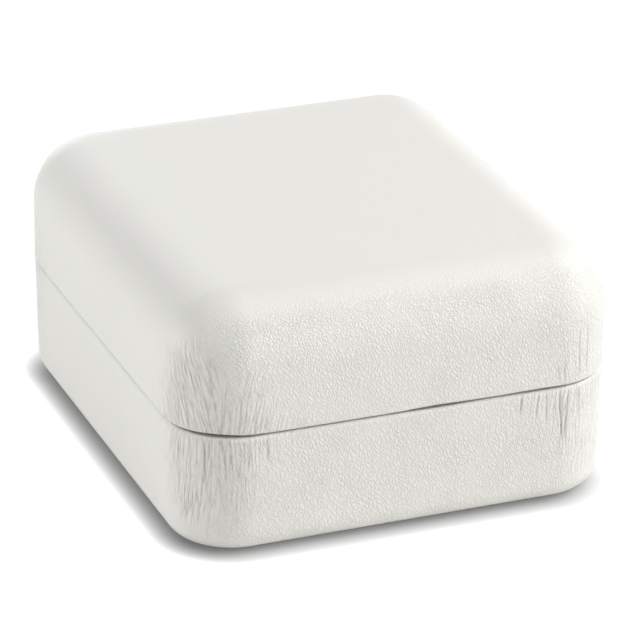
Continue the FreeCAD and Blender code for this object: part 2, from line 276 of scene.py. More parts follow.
def hardFinish(name):
    look = hardLooks[name]
    material, add, shader, place = startMaterial(name, {"Metallic": look.get("metallic", 0.0)})
    along, across = (1 / (size * mm) for size in look["grain"])
    drawn = add("VectorMath", {"operation": "MULTIPLY", 1: (along, across, across)}, {0: place})
    lines = add("TexNoise", {"Scale": 1.0, "Detail": 4.0, "Roughness": 0.6}, {"Vector": drawn}, "Fac")
    cloud = add("TexNoise", {"Scale": 1 / (cloudSize * mm), "Detail": 2.0}, {"Vector": place}, "Fac")
    tone = add("Mix", {0: cloudShare}, {2: lines, 3: cloud})
    spread = add("MapRange", {"From Min": 0.3, "From Max": 0.7}, {"Value": tone})
    colour = add("Mix", tones(*look["tones"]), {0: spread}, 2)
    rough = add("MapRange", dict(zip(("To Min", "To Max"), look["roughness"])), {"Value": spread})
    bump = add("Bump", {"Distance": look["depth"] * mm}, {"Height": lines})
    plug(shader, {"Base Color": colour, "Roughness": rough, "Normal": bump})
    return material


# polyurethane foam, cut from a block: matt cream, pitted with open cells, with shade painted in the pits
foamLook = {"skin": "#EFE7D2", "pitShade": "#C9BE9F", "cell": 0.5, "cellDepth": 0.25}


def openCellFoam():
    look = foamLook
    material, add, shader, place = startMaterial("polyurethaneFoamCut", {"Roughness": 0.97})
    perCell = add("VectorMath", {"operation": "SCALE", "Scale": 1 / (look["cell"] * mm)}, {0: place})
    cells = add("TexVoronoi", {"Scale": 1.0}, {"Vector": perCell}, "Distance")
    # painted shade: the pits are darker the deeper they go
    colour = add("Mix", tones(look["pitShade"], look["skin"]), {0: cells}, 2)
    bump = add("Bump", {"Distance": look["cellDepth"] * mm}, {"Height": cells})
    plug(shader, {"Base Color": colour, "Normal": bump})
    return material


leatherette = embossedLeatherette()
velvet = shornVelvet()
satin = wovenSatin()
foam = openCellFoam()
hard = {name: hardFinish(name) for name in hardLooks}
print("materials made:", len(bpy.data.materials))


def linkObject(name, data):
    item = bpy.data.objects.new(name, data)
    bpy.context.scene.collection.objects.link(item)
    return item


def coat(mesh, material):
    mesh.materials.clear()
    mesh.materials.append(material)


def addObject(name, mesh, material):
    coat(mesh, material)
    return linkObject(name, mesh)


def ringFaces(count, steps, rings):
    # quads between each ring of points and the next; with as many steps as rings the last joins the first
    faces = []
    for k in range(steps):
        a, b = k * count, (k + 1) % rings * count
        faces += [(a + i, a + (i + 1) % count, b + (i + 1) % count, b + i) for i in range(count)]
    return faces


def turnOutwards(mesh, merge=0.0):
    # all faces look outwards; points closer than merge become one
    form = bmesh.new()
    form.from_mesh(mesh)
    if merge:
        bmesh.ops.remove_doubles(form, verts=form.verts, dist=merge)
    bmesh.ops.recalc_face_normals(form, faces=form.faces)
    form.to_mesh(mesh)
    form.free()


def smoothBut(mesh, angle):
    # smooth shading, with a sharp edge where faces meet at more than the angle
    mesh.shade_smooth()
    mesh.set_sharp_from_angle(angle=math.radians(angle))


def applyModifiers(piece):
    # the mesh that the modifiers give takes the place of the piece's own
    seen = piece.evaluated_get(bpy.context.evaluated_depsgraph_get())
    mesh = bpy.data.meshes.new_from_object(seen)
    old = piece.data
    piece.modifiers.clear()
    piece.data = mesh
    bpy.data.meshes.remove(old)


def cutBox(piece, low, high):
    # takes a straight-sided opening, in mm, out of a closed piece
    low, high = ([value * mm for value in corner] for corner in (low, high))
    mesh = bpy.data.meshes.new("cutter")
    form = bmesh.new()
    bmesh.ops.create_cube(form, size=1)
    for vert in form.verts:
        vert.co = [(a + b) / 2 + share * (b - a) for a, b, share in zip(low, high, vert.co)]
    form.to_mesh(mesh)
    form.free()
    cutter = linkObject("cutter", mesh)
    cut = piece.modifiers.new("cut", "BOOLEAN")
    cut.operation = "DIFFERENCE"
    cut.solver = "EXACT"
    cut.object = cutter
    applyModifiers(piece)
    bpy.data.objects.remove(cutter)


def boxInMm(node):
    return [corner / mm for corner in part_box(node)]


# plan of the box and how finely its outline is divided, in mm
plan = {
    "corner": 9.9,
    "skinSteps": (0.085, 0.1, 0.75),  # round the corners, beside them, and along the middle of a side
    "nearReach": 9.0,
    "coarse": 8,  # hidden layers use every eighth column
}
lidLow, lidHigh = boxInMm("lid_wrap")
baseLow, baseHigh = boxInMm("base_wrap")
halfWidth = lidHigh.x
halfDepth = -lidLow.y


def outlineColumns(arcStep, nearStep, middleStep):
    # columns run anticlockwise from the front right corner;
    # each is a point on the inner rectangle and a way out
    corner, group, reach = plan["corner"], plan["coarse"], plan["nearReach"]
    centreX = halfWidth - corner
    centreY = halfDepth - corner
    centres = [(centreX, -centreY), (centreX, centreY), (-centreX, centreY), (-centreX, -centreY)]
    arcLength = corner * math.pi / 2
    arcCount = group * round(arcLength / arcStep / group)
    columns = []
    passed = 0.0
    for number, centre in enumerate(centres):
        start = math.radians(90 * number - 90)
        for i in range(arcCount):
            turn = start + math.pi / 2 * i / arcCount
            columns.append((centre, (math.cos(turn), math.sin(turn)), passed + arcLength * i / arcCount,
                            arcLength * (i / arcCount - 0.5), number))
        passed += arcLength
        following = centres[(number + 1) % 4]
        length = math.dist(centre, following)
        nearCount = group * max(1, round(reach / nearStep / group))
        middleCount = group * max(1, round((length - 2 * reach) / middleStep / group))
        places = [reach * i / nearCount for i in range(nearCount)]
        places += [reach + (length - 2 * reach) * i / middleCount for i in range(middleCount)]
        places += [length - reach + reach * i / nearCount for i in range(nearCount)]
        side = math.radians(90 * number)
        for place in places:
            share = place / length
            point = tuple(a + (b - a) * share for a, b in zip(centre, following))
            away, nearest = arcLength / 2 + place, number
            if share >= 0.5:
                away, nearest = place - length - arcLength / 2, (number + 1) % 4
            columns.append((point, (math.cos(side), math.sin(side)), passed + place, away, nearest))
        passed += length
    names = ("point", "way", "along", "fromCorner", "cornerNumber")
    return dict(zip(names, map(np.array, zip(*columns)))) | {"length": passed}


def roundRings(centreInset, centreRise, radius, start, end, count):
    # a round stretch of the section: inset from the outline, rise from the rim, tilt of the face
    rings = []
    for i in range(count):
        tilt = math.radians(start + (end - start) * i / count)
        rings.append((centreInset - radius * math.cos(tilt), centreRise + radius * math.sin(tilt), tilt))
    return rings


def straightRings(start, end, tilt, count):
    rings = []
    for share in (i / count for i in range(count)):
        inset, rise = (a + (b - a) * share for a, b in zip(start, end))
        rings.append((inset, rise, math.radians(tilt)))
    return rings


# back rims slope away from the hinge so that the lid can lie back, in mm and degrees
hinge = frame["joints"][0]
axisY = hinge["pos_m"][1] / mm
axisZ = hinge["pos_m"][2] / mm
slope = math.radians(hinge["range_deg"][1] / 2)
seamHalf = 0.15
skinThick = 0.7
notch = {"halfLength": 18.0, "halfHeight": 1.74, "inner": 35.1, "deep": 2.7, "past": 2.0}


def backRise(y, layer):
    # how far the sloped back rim stands off the plain rim at a place
    clear = seamHalf + layer
    start = axisY - clear * (math.sin(slope) - math.cos(slope) * math.tan(slope / 2))
    return np.maximum(0.0, (y - start) * math.tan(slope))


def soften(value, full, none):
    # 1 up to full, then an even fall to 0 at none
    share = min(1.0, max(0.0, (value - full) / (none - full)))
    return 1 - share * share * (3 - 2 * share)


# how the hide gathers at a corner, in mm
gatherLook = {
    "spread": (1.15, 0.75),  # share of the reach at the rim, and how much of it is lost at their end
    "partReach": 4.0,  # to either side of the place where the gathers part
    "calm": (2.4, 6.0),  # the calm area there: half its width, and how far from the rim it is at its full
    "even": 0.85,
    "uneven": (0.5, 2.6, 9.0),  # amount, and size along and up
    "sway": (0.5, 4.0, 8.0, 11),  # amount, size along and up, seed
    "wobble": (0.07, 1.0, 1.8, 17),
    "folds": ((0.7, 0.55, 7.0, 23), (0.3, 0.95, 9.0, 31)),  # share, size along and up, seed
    "foldEdge": 0.6,  # the lower, the narrower a fold
    "leastShare": 0.01,
}
# width of a deep crease, how it wanders (amount, length, seed), and where along it its ends fade
creaseLook = {"width": 0.13, "wander": (0.14, 1.3, 3.7), "ends": (0.3, 0.55)}


def foldLine(across, along, seed):
    # 1 in the bottom of a fold, 0 on the flat between folds
    first, second = noise.voronoi((across, along, seed))[0][:2]
    return 1 - min(1.0, (second - first) / gatherLook["foldEdge"])


def parting(away, run, number, spec):
    # how far the gathers have spread to either side of the place where they part
    middle, lean = spec["parting"][number]
    return lean * max(0.0, run) * math.tanh((away - middle) / gatherLook["partReach"])


def gatherField(away, run, number, spec):
    # share of gathering at a place, and how deep its folds are there
    look = gatherLook
    seed = spec["seed"] + 5 * number
    up = max(0.0, run)
    before, after = spec["reach"][number]
    atRim, lost = look["spread"]
    reach = (before if away < 0 else after) * (atRim - lost * up / spec["none"])
    share = math.exp(-abs(away / reach) ** 3) * soften(run, spec["full"], spec["none"])
    calmWidth, calmRise = look["calm"]
    calm = math.exp(-((away - spec["parting"][number][0]) / calmWidth) ** 2) * min(1.0, up / calmRise)
    amount, along, high = look["uneven"]
    patchy = look["even"] + amount * noise.noise((away / along, run / high, seed))
    share *= spec["strength"][number] * (1 - spec["calm"] * calm) * patchy
    if share < look["leastShare"]:
        return 0.0, 0.0
    line = away - parting(away, run, number, spec)
    for amount, along, high, more in (look["sway"], look["wobble"]):
        line += amount * noise.noise((away / along, run / high, seed + more))
    fold = sum(part * foldLine(line / along, run / high, seed + more)
               for part, along, high, more in look["folds"])
    share = min(1.0, max(0.0, share))
    return share, share * fold * spec["depth"]


def localSum(places, away, number):
    # sum of the smooth humps (corner, place along the rim, reach, amount) at a place
    return sum(amount * math.exp(-((away - middle) / reach) ** 2)
               for corner, middle, reach, amount in places if corner == number)


def creaseDepth(away, run, number, spec):
    # the few deep creases where the gathered hide was pressed flat
    look = creaseLook
    sideways, high, seed = look["wander"]
    depth = 0.0
    for corner, middle, start, length, deep, lean in spec["creases"]:
        if corner != number or not start - 1 < run < start + length + 1:
            continue
        share = (run - start) / length
        line = middle + lean * share + sideways * noise.noise((run / high, middle, seed))
        ends = soften(abs(share - 0.5), *look["ends"])
        depth += deep * ends * math.exp(-((away - line) / look["width"]) ** 2)
    return depth


# what both skins share, in mm and degrees
skinLook = {
    # fullShadeDepth: mm of crease depth at which the painted shade in a crease is darkest
    "turnInset": 3.1, "innerRound": 0.3, "turnIn": 5.0, "rimWave": 0.03, "depth": 0.04, "fullShadeDepth": 0.4,
    "grainSides": (1.0, 0.7, 0.8, 0.16),
    "underRings": 5, "rimRings": 4, "fallRings": 6, "innerRings": 3, "turnRings": 4,
    "gluedRings": (4, 3, 8),
    "outside": -1.6,  # radians; faces tilted further than this look inwards
    "rimHold": 0.35,  # share of the folds' depth that is left on the crest of the rim
    "waveLength": 11.0, "grainLost": 0.4,  # share of the grain that the gathers pull out
    "merge": 0.0005, "sharp": 48,
}


def skinSections(spec):
    # rings (inset, rise, tilt) of the outer face, from the far end round the rim to the end of the turn-in,
    # and of the glued side, back to the far end
    wall, tall, endRound = spec["wallInset"], spec["tall"], spec["endRound"]
    rimRound, crest, innerRound = spec["rimRound"], spec["crest"], spec["innerRound"]
    turnInset, turnIn, endInset = spec["turnInset"], spec["turnIn"], spec["endInset"]
    straight = tall - endRound
    foot = wall + spec["draft"]
    outer = []
    if endInset:
        outer.append((endInset, tall - skinThick, math.pi / 2))
        outer += straightRings((endInset, tall), (foot + endRound, tall), 90, spec["underRings"])
    outer += roundRings(foot + endRound, straight, endRound, 90, 0, spec["endRings"])
    # the rim is bevelled outside, has a tight crest and falls away inwards, so that the seam shows dark
    bevel, fall = math.radians(spec["bevel"]), math.radians(spec["fall"])
    bevelRise = crest * (1 - math.sin(bevel)) + rimRound * math.sin(bevel)
    crestInset = wall + rimRound * (1 - math.cos(bevel)) + crest * math.cos(bevel)
    fallEnd = turnInset - innerRound
    fallRise = (fallEnd - crestInset) * math.tan(fall)
    fallTilt = -90 - spec["fall"]
    outer += straightRings((foot, straight), (wall, bevelRise), 0, spec["wallRings"])
    outer += roundRings(wall + rimRound, bevelRise, rimRound, 0, -spec["bevel"], spec["rimRings"])
    outer += roundRings(crestInset, crest, crest, -spec["bevel"], fallTilt, spec["rimRings"])
    outer += straightRings((crestInset, 0), (fallEnd, fallRise), fallTilt, spec["fallRings"])[1:]
    outer += roundRings(fallEnd, fallRise + innerRound, innerRound, -90, -180, spec["innerRings"])
    outer += straightRings((turnInset, fallRise + innerRound), (turnInset, turnIn), -180, spec["turnRings"])
    outer.append((turnInset, turnIn, -math.pi))

    across, up, over = spec["gluedRings"]
    wallIn = spec["gluedInset"]
    turnBack = turnInset - skinThick
    roundIn = endRound - skinThick
    glued = [(turnBack, turnIn, 0), (turnBack, skinThick, 0)]
    glued += straightRings((turnBack, skinThick), (wallIn, skinThick), 0, across)[1:]
    glued += straightRings((wallIn, skinThick), (wallIn, straight), 0, up)
    glued += list(reversed(roundRings(wallIn + roundIn, straight, roundIn, 90, 0, over)))
    if endInset:
        glued.append((endInset - skinThick, tall - skinThick, 0))
    return outer, glued


def makeSkin(name, spec):
    # leatherette drawn over one half of the box: outer face, rim, turn-in, and the side glued to the shell
    columns = outlineColumns(*plan["skinSteps"])
    outline, ways = columns["point"], columns["way"]
    corner, step = plan["corner"], plan["coarse"]
    side, rim, wall, tall = spec["side"], spec["rim"], spec["wallInset"], spec["tall"]
    straight = tall - spec["endRound"]
    outer, glued = skinSections(spec)
    count = len(columns["along"])
    away = columns["fromCorner"]
    corners = columns["cornerNumber"].astype(int)
    lifted = np.array([localSum(spec["lifted"], a, n) for a, n in zip(away, corners)])
    pulledIn = np.array([localSum(spec["pulledIn"], a, n) for a, n in zip(away, corners)])
    wave = np.array([noise.noise((place / spec["waveLength"], spec["seed"], 0.4))
                     for place in columns["along"]])
    rows, shares, runs, spreads = [], [], [], []
    for inset, rise, tilt in outer:
        ease = max(0.0, 1 - rise / straight)
        flat = outline + (corner - inset - pulledIn * ease ** 3)[:, None] * ways
        lift = backRise(flat[:, 1], 0) * ease
        lift = lift + (lifted + spec["rimWave"] * wave) * ease ** 3
        run = rise if rise < straight else straight + spec["endRound"] * tilt
        gatherRow, deepRow, creaseShadeRow = np.zeros((3, count))
        if tilt > spec["outside"] and run < spec["none"]:
            fadeAtRim = math.cos(tilt) if tilt < 0 else 1.0
            for i in range(count):
                share, deep = gatherField(away[i], run, corners[i], spec)
                crease = creaseDepth(away[i], run, corners[i], spec)
                gatherRow[i] = share * fadeAtRim ** 3
                # painted shade down a deep crease, growing with its depth
                creaseShadeRow[i] = min(1.0, crease / spec["fullShadeDepth"]) * fadeAtRim
                deepRow[i] = (deep + crease) * (spec["rimHold"] + (1 - spec["rimHold"]) * fadeAtRim)
        facing = np.column_stack((ways * math.cos(tilt), np.full(count, side * math.sin(tilt))))
        rows.append(np.column_stack((flat, rim + side * (rise + lift))) - facing * deepRow[:, None])
        shares.append(np.column_stack((gatherRow, creaseShadeRow)))
        runs.append(run if tilt > spec["outside"] else -abs(rise) - (inset - wall))
        spread = [parting(a, min(run, spec["none"]), n, spec) for a, n in zip(away, corners)]
        spreads.append(np.append(spread, spread[0]))

    sparse = np.arange(0, count, step)
    hidden = []
    for inset, rise, tilt in glued:
        flat = outline[sparse] + (corner - inset) * ways[sparse]
        ease = max(0.0, 1 - (rise - skinThick) / (straight - skinThick))
        lift = backRise(flat[:, 1], skinThick) * min(1.0, ease)
        if inset >= spec["turnInset"] - skinThick:
            lift = 0 * lift
        hidden.append(np.column_stack((flat, rim + side * (rise + lift))))

    # the lid's top and its glued side close over the middle
    crowns = []
    if not spec["endInset"]:
        spine = halfDepth - halfWidth
        start = outline[sparse]
        goal = np.column_stack((np.zeros(len(sparse)), np.clip(start[:, 1], -spine, spine)))
        for level in (tall, tall - skinThick):
            height = np.full(len(sparse), rim + side * level)
            crowns.append([np.column_stack((start + (goal - start) * (i / spec["topRings"]), height))
                           for i in range(1, spec["topRings"] + 1)])

    verts, gather, faces, mapped = [], [], [], []

    def addRow(row, share):
        verts.append(row)
        gather.append(share)
        return sum(len(part) for part in verts[:-1])

    def join(a, b, placesA, placesB, runA, runB, flip=False):
        # faces between two rows of points, with their places on the map; the first row may be the finer one
        fine, coarse = len(placesA) - 1, len(placesB) - 1
        per = fine // coarse
        for i in range(coarse):
            edge = [(a + k % fine, placesA[k], runA) for k in range(i * per, i * per + per + 1)]
            edge += [(b + k % coarse, placesB[k], runB) for k in (i + 1, i)]
            edge = edge[::-1] if flip else edge
            faces.append([corner for corner, place, run in edge])
            mapped.extend(value for corner, *place in edge for value in place)

    every = np.append(columns["along"], columns["length"])
    few = every[::step]
    laid = [every - spread for spread in spreads]
    fineRows = [addRow(row, share) for row, share in zip(rows, shares)]
    for k in range(len(rows) - 1):
        join(fineRows[k], fineRows[k + 1], laid[k], laid[k + 1], runs[k], runs[k + 1])
    bare = np.zeros((len(sparse), 2))
    hiddenRows = [addRow(row, bare) for row in hidden]
    hiddenRun = runs[-1] - 1
    join(fineRows[-1], hiddenRows[0], every, few, runs[-1], hiddenRun)
    for a, b in zip(hiddenRows, hiddenRows[1:]):
        join(a, b, few, few, hiddenRun, hiddenRun - 1)
    if crowns:
        topRows, underRows = ([addRow(row, bare) for row in crown] for crown in crowns)
        join(fineRows[0], topRows[0], every, few, runs[0], runs[0] + 1, flip=True)
        for a, b in zip(topRows, topRows[1:]):
            join(a, b, few, few, runs[0] + 1, runs[0] + 2, flip=True)
        for a, b in zip([hiddenRows[-1]] + underRows, underRows):
            join(a, b, few, few, hiddenRun, hiddenRun - 1)
    else:
        join(fineRows[0], hiddenRows[-1], every, few, runs[0], runs[0] + 1, flip=True)

    points = np.vstack(verts)
    mesh = bpy.data.meshes.new(name)
    mesh.from_pydata((points * mm).tolist(), [], faces)
    mesh.uv_layers.new(name="hideMap").data.foreach_set("uv", np.array(mapped, np.float32))
    # the embossing is deepest on the front and was pressed smooth on the left and on the top
    # the gather share, and the painted shade of the deep creases
    gathered, shadedCreases = np.concatenate(gather).T
    out = np.concatenate([ways if len(row) == count else ways[sparse] for row in verts])
    facing = np.column_stack((-out[:, 1], out[:, 0], out[:, 1], -out[:, 0]))
    onSides = np.clip(facing, 0, 1) ** 2 @ np.array(spec["grainSides"])
    onWall = np.array([soften(side * (h - rim), *spec["grainFade"]) for h in points[:, 2]])
    grain = spec["grainTop"] + (onSides - spec["grainTop"]) * onWall
    grain *= 1 - spec["grainLost"] * gathered
    for key, values in (("gather", gathered), ("crease", shadedCreases), ("grain", grain)):
        mesh.attributes.new(key, "FLOAT", "POINT").data.foreach_set("value", values.astype(np.float32))
    turnOutwards(mesh, spec["merge"] * mm)
    piece = addObject(name, mesh, leatherette)
    length, past = notch["halfLength"], notch["past"]
    reach = notch["inner"] - notch["deep"]
    cutBox(piece, (-length, reach, axisZ - notch["halfHeight"]),
           (length, halfDepth + past, axisZ + notch["halfHeight"]))
    low, high = sorted((rim - side * past, rim + side * (spec["turnIn"] + past)))
    cutBox(piece, (-length, reach, low), (length, notch["inner"], high))
    smoothBut(piece.data, spec["sharp"])
    print(name, "has", len(piece.data.polygons), "faces")
    return piece


# lid covering in mm; corners count anticlockwise from the front right one; sides: front, right, back, left;
# lifted and pulledIn are (corner, place along the rim, reach, amount), parting is (place, lean) per corner,
# creases are (corner, place along the rim, start from the rim, length, depth, lean)
seamDrop = 0.1  # the covered rims meet this much lower than the bare ones
lidSkin = skinLook | {
    "side": 1, "rim": lidLow.z - seamDrop, "tall": lidHigh.z - lidLow.z + seamDrop,
    "wallInset": 0.0, "draft": 0.0, "gluedInset": 0.7, "endRound": 9.4,
    "rimRound": 0.25, "bevel": 55, "crest": 0.12, "fall": 7,
    "endInset": 0, "endRings": 18, "wallRings": 16, "topRings": 14,
    "lifted": [(3, 2.5, 4.5, 0.16), (0, -26.4, 5.0, 0.14), (0, -11.0, 4.0, 0.1)],
    "pulledIn": [(3, 2.5, 5.0, 0.3)], "parting": ((-2.0, 0.1), (0.0, 0.15), (0.0, 0.15), (4.2, 0.28)),
    "grainTop": 0.16, "grainFade": (14.5, 18.4),
    "full": 7.0, "none": 16.5, "calm": 0.6, "strength": (0.5, 0.9, 0.9, 1.0), "seed": 4.3,
    "reach": ((8.5, 9.0), (9.5, 9.5), (9.5, 9.5), (9.5, 11.0)),
    "creases": [
        (3, -3.4, 0.6, 9.5, 0.12, -1.2), (3, -1.9, 0.8, 8.0, 0.10, -0.6), (3, 3.1, 0.3, 8.0, 0.11, 0.5),
        (3, 5.2, 0.4, 5.0, 0.11, 0.4), (3, 7.4, 0.5, 3.6, 0.10, 0.3), (3, 9.0, 0.4, 2.6, 0.10, 0.2),
        (0, -4.8, 0.5, 7.0, 0.12, -0.2), (0, -3.3, 0.4, 8.5, 0.13, -0.1), (0, -7.0, 0.3, 3.6, 0.11, -0.5),
        (0, -8.1, 0.3, 2.8, 0.10, -0.2), (1, 2.6, 0.5, 6.5, 0.10, 0.3), (2, -2.2, 0.5, 7.0, 0.10, -0.3)],
}
# base covering in mm, drawn in a little towards the foot
baseSkin = skinLook | {
    "side": -1, "rim": baseHigh.z - seamDrop, "tall": baseHigh.z - baseLow.z - seamDrop,
    "wallInset": 0.05, "draft": 0.3, "gluedInset": 1.0, "endRound": 3.0,
    "rimRound": 0.8, "bevel": 50, "crest": 0.15, "fall": 9,
    "endInset": 7.3, "endRings": 8, "wallRings": 22, "topRings": 0,
    "lifted": [(3, 2.5, 4.5, 0.08), (0, -26.4, 5.0, 0.08), (0, -11.0, 4.0, 0.06)],
    "pulledIn": [(3, -11.0, 5.0, 0.25)], "parting": ((-2.0, 0.08), (0.0, 0.1), (0.0, 0.1), (3.0, 0.11)),
    "grainTop": 1.0, "grainFade": (20.0, 30.0),
    "full": 11.0, "none": 17.0, "calm": 0.3, "strength": (0.7, 0.9, 0.9, 0.9), "seed": 9.1,
    "reach": ((13.0, 9.0), (10.0, 10.0), (10.0, 10.0), (9.0, 11.0)),
    "creases": [
        (3, 0.45, 0.3, 6.5, 0.22, 0.1), (3, 1.2, 0.3, 3.2, 0.16, -0.1), (3, 9.3, 0.3, 3.6, 0.18, 0.2),
        (3, -4.0, 0.6, 9.0, 0.1, 0.3), (3, 3.4, 0.5, 6.5, 0.1, 0.1), (3, 6.6, 0.3, 4.6, 0.12, 0.1),
        (0, -8.0, 0.2, 8.5, 0.22, 0.9), (0, -6.5, 0.3, 8.0, 0.2, -0.3), (0, -13.7, 0.2, 3.2, 0.18, -0.3),
        (0, -11.2, 0.2, 3.6, 0.14, -0.2), (0, -10.0, 0.3, 4.8, 0.12, 0.2), (0, -4.6, 0.3, 6.0, 0.12, 0.2),
        (1, 3.2, 0.4, 7.5, 0.14, 0.2), (2, -4.0, 0.4, 7.0, 0.14, -0.2)],
}
lidWrap = makeSkin("lidLeatherette", lidSkin)
baseWrap = makeSkin("baseLeatherette", baseSkin)
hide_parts("lid_wrap")
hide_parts("base_wrap")
# each covering goes with its half of the box
for piece, body in ((lidWrap, "lid"), (baseWrap, "base")):
    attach(piece, body)


# velvet lining strips, in mm and degrees
linerLook = {
    "edgeRound": 0.45, "thick": 1.0, "steps": (0.6, 0.7, 1.2),
    "rollUp": (0.5, 1.0, 1.57), "rollDown": (0.0, 0.55, 1.05, 1.57),  # radians round the rolled edge
    "unevenness": 0.08, "unevenReach": 3.0, "wave": (7.0, 9.0),
    "window": 18.0, "windowDepth": (30.0, 40.0), "spare": 0.4,  # opening for the hinge leaf
    "sharp": 50,
}


def makeLiner(name, node, leaf, side):
    # strip round the inside of a wall; its free edge, towards the seam, is rolled over;
    # side is 1 where that edge is up
    look = linerLook
    low, high = boxInMm(node)
    columns = outlineColumns(*look["steps"])
    inset = halfWidth - high.x
    free, fixed = (high.z, low.z) if side > 0 else (low.z, high.z)
    r, thick = look["edgeRound"], look["thick"]
    section = [(inset, fixed), (inset, free - side * r)]
    section += [(inset + r - r * math.cos(t), free - side * (r - r * math.sin(t))) for t in look["rollUp"]]
    section += [(inset + thick - r + r * math.sin(t), free - side * (r - r * math.cos(t)))
                for t in look["rollDown"]]
    section += [(inset + thick, free + (fixed - free) * share) for share in (0.3, 0.6, 1.0)]
    waveAlong, waveUp = look["wave"]
    rows = []
    for inward, level in section:
        near = max(0.0, 1 - abs(level - free) / look["unevenReach"])
        wave = np.array([noise.noise((place / waveAlong, level / waveUp, inset))
                         for place in columns["along"]])
        flat = columns["point"] + (plan["corner"] - inward) * columns["way"]
        rows.append(np.column_stack((flat, level - side * look["unevenness"] * near * (0.5 + wave))))
    faces = ringFaces(len(columns["along"]), len(rows), len(rows))
    mesh = bpy.data.meshes.new(name)
    mesh.from_pydata((np.vstack(rows) * mm).tolist(), [], faces)
    turnOutwards(mesh)
    piece = addObject(name, mesh, velvet)
    leafLow, leafHigh = boxInMm(leaf)
    window, spare = look["window"], look["spare"]
    near, far = look["windowDepth"]
    cutBox(piece, (-window, near, leafLow.z - spare), (window, far, leafHigh.z + spare))
    smoothBut(piece.data, look["sharp"])
    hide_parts(node)
    return piece


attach(makeLiner("baseLiningStrip", "base_liner", "hinge_base_leaf", 1), "base")
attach(makeLiner("lidLiningStrip", "lid_liner", "hinge_lid_leaf", -1), "lid")
print("linings made")


# pads, in mm; they are blown up ten times for the cloth, which is steadier at that size
padWork = {
    "enlarge": 10.0, "voxel": 0.7, "frames": 20,
    "start": 0.45,  # the cover starts this far inside its space
    "most": 0.9,  # and swells by this much at most
    "arcSteps": 7, "roundSteps": 5, "least": 0.05, "skirt": 0.2,
    "foamInset": 1.5, "foamRounding": 0.7, "foamSharp": 40, "smoothing": 10, "coverFill": 0.8,
}
# the cover of a pad as cloth under pressure
clothLook = {
    "quality": 6, "mass": 0.3, "tension_stiffness": 12, "compression_stiffness": 12,
    "bending_stiffness": 1.2, "shrink_min": -0.02, "use_pressure": True, "uniform_pressure_force": 4.0,
    "vertex_group_mass": "glued",
}


def padForm(low, high, lowCorner, highCorner, rounding, inset, up):
    # closed block with rounded corners and one rounded face; corners are for the -Y and the +Y end
    left, right = low.x + inset, high.x - inset
    front, back = low.y + inset, high.y - inset
    base, top = (low.z, high.z - inset) if up else (high.z, low.z + inset)
    turn = 1 if up else -1
    steps, roundSteps, least = padWork["arcSteps"], padWork["roundSteps"], padWork["least"]
    spots = [(right - lowCorner, front + lowCorner, lowCorner, -90),
             (right - highCorner, back - highCorner, highCorner, 0),
             (left + highCorner, back - highCorner, highCorner, 90),
             (left + lowCorner, front + lowCorner, lowCorner, 180)]
    rings = [(0.0, base), (0.0, base + (top - base) * padWork["skirt"])]
    for i in range(roundSteps + 1):
        t = math.pi / 2 * i / roundSteps
        rings.append((rounding * (1 - math.cos(t)), top - turn * rounding * (1 - math.sin(t))))
    verts = []
    for inward, level in rings:
        for x, y, radius, start in spots:
            reach = max(least, radius - inward)
            shift = math.copysign(max(0.0, inward - radius + least), x)
            for i in range(steps + 1):
                t = math.radians(start + 90 * i / steps)
                verts.append((x + reach * math.cos(t) - shift, y + reach * math.sin(t), level))
    count = 4 * (steps + 1)
    faces = ringFaces(count, len(rings) - 1, len(rings))
    faces.append(tuple(range(count))[::-1])
    faces.append(tuple(range((len(rings) - 1) * count, len(rings) * count)))
    mesh = bpy.data.meshes.new("padForm")
    mesh.from_pydata(verts, [], faces)
    turnOutwards(mesh)
    return mesh


def readPoints(mesh):
    flat = np.empty(len(mesh.vertices) * 3, np.float32)
    mesh.vertices.foreach_get("co", flat)
    return flat.reshape(-1, 3)


def swell(piece, flatOnes):
    # cloth under pressure, held where it is glued down
    piece.vertex_groups.new(name="glued").add(flatOnes, 1.0, "REPLACE")
    cloth = piece.modifiers.new("cloth", "CLOTH")
    for key, value in clothLook.items():
        setattr(cloth.settings, key, value)
    cloth.settings.effector_weights.gravity = 0
    cloth.collision_settings.use_collision = False
    cloth.point_cache.frame_start = 1
    cloth.point_cache.frame_end = padWork["frames"]
    for step in range(1, padWork["frames"] + 1):
        bpy.context.scene.frame_set(step)
    applyModifiers(piece)
    bpy.context.scene.frame_set(1)


def puffPad(name, node, lowCorner, highCorner, rounding, material, up):
    # fabric pulled over foam: swollen by pressure, flat where it is glued down
    work = padWork
    low, high = boxInMm(node)
    form = padForm(low, high, lowCorner, highCorner, rounding, work["start"], up)
    piece = addObject(name, form, material)
    grow = work["enlarge"] * mm
    piece.data.transform(Matrix.Diagonal((grow, grow, grow, 1)))
    remesh = piece.modifiers.new("remesh", "REMESH")
    remesh.mode = "VOXEL"
    remesh.voxel_size = work["voxel"] * grow
    applyModifiers(piece)
    rest = readPoints(piece.data)
    glued = low.z if up else high.z
    swell(piece, np.nonzero(np.abs(rest[:, 2] / grow - glued) < work["voxel"])[0].tolist())
    shift = readPoints(piece.data) - rest
    far = np.linalg.norm(shift, axis=1, keepdims=True)
    most = work["most"]
    moved = rest + shift * np.minimum(1.0, most * grow / np.maximum(far, 1e-9))
    moved = np.clip(moved / grow, [low.x, low.y, low.z - (0 if up else most)],
                    [high.x, high.y, high.z + (most if up else 0)])
    piece.data.vertices.foreach_set("co", (moved * mm).astype(np.float32).ravel())
    piece.data.update()
    even = piece.modifiers.new("even", "SMOOTH")
    even.factor = 0.5
    even.iterations = work["smoothing"]
    rounder = piece.modifiers.new("rounder", "SUBSURF")
    rounder.levels = 1
    rounder.render_levels = 1
    applyModifiers(piece)
    coat(piece.data, material)
    piece.data.shade_smooth()
    print(name, "puffed,", len(piece.data.polygons), "faces")
    return piece


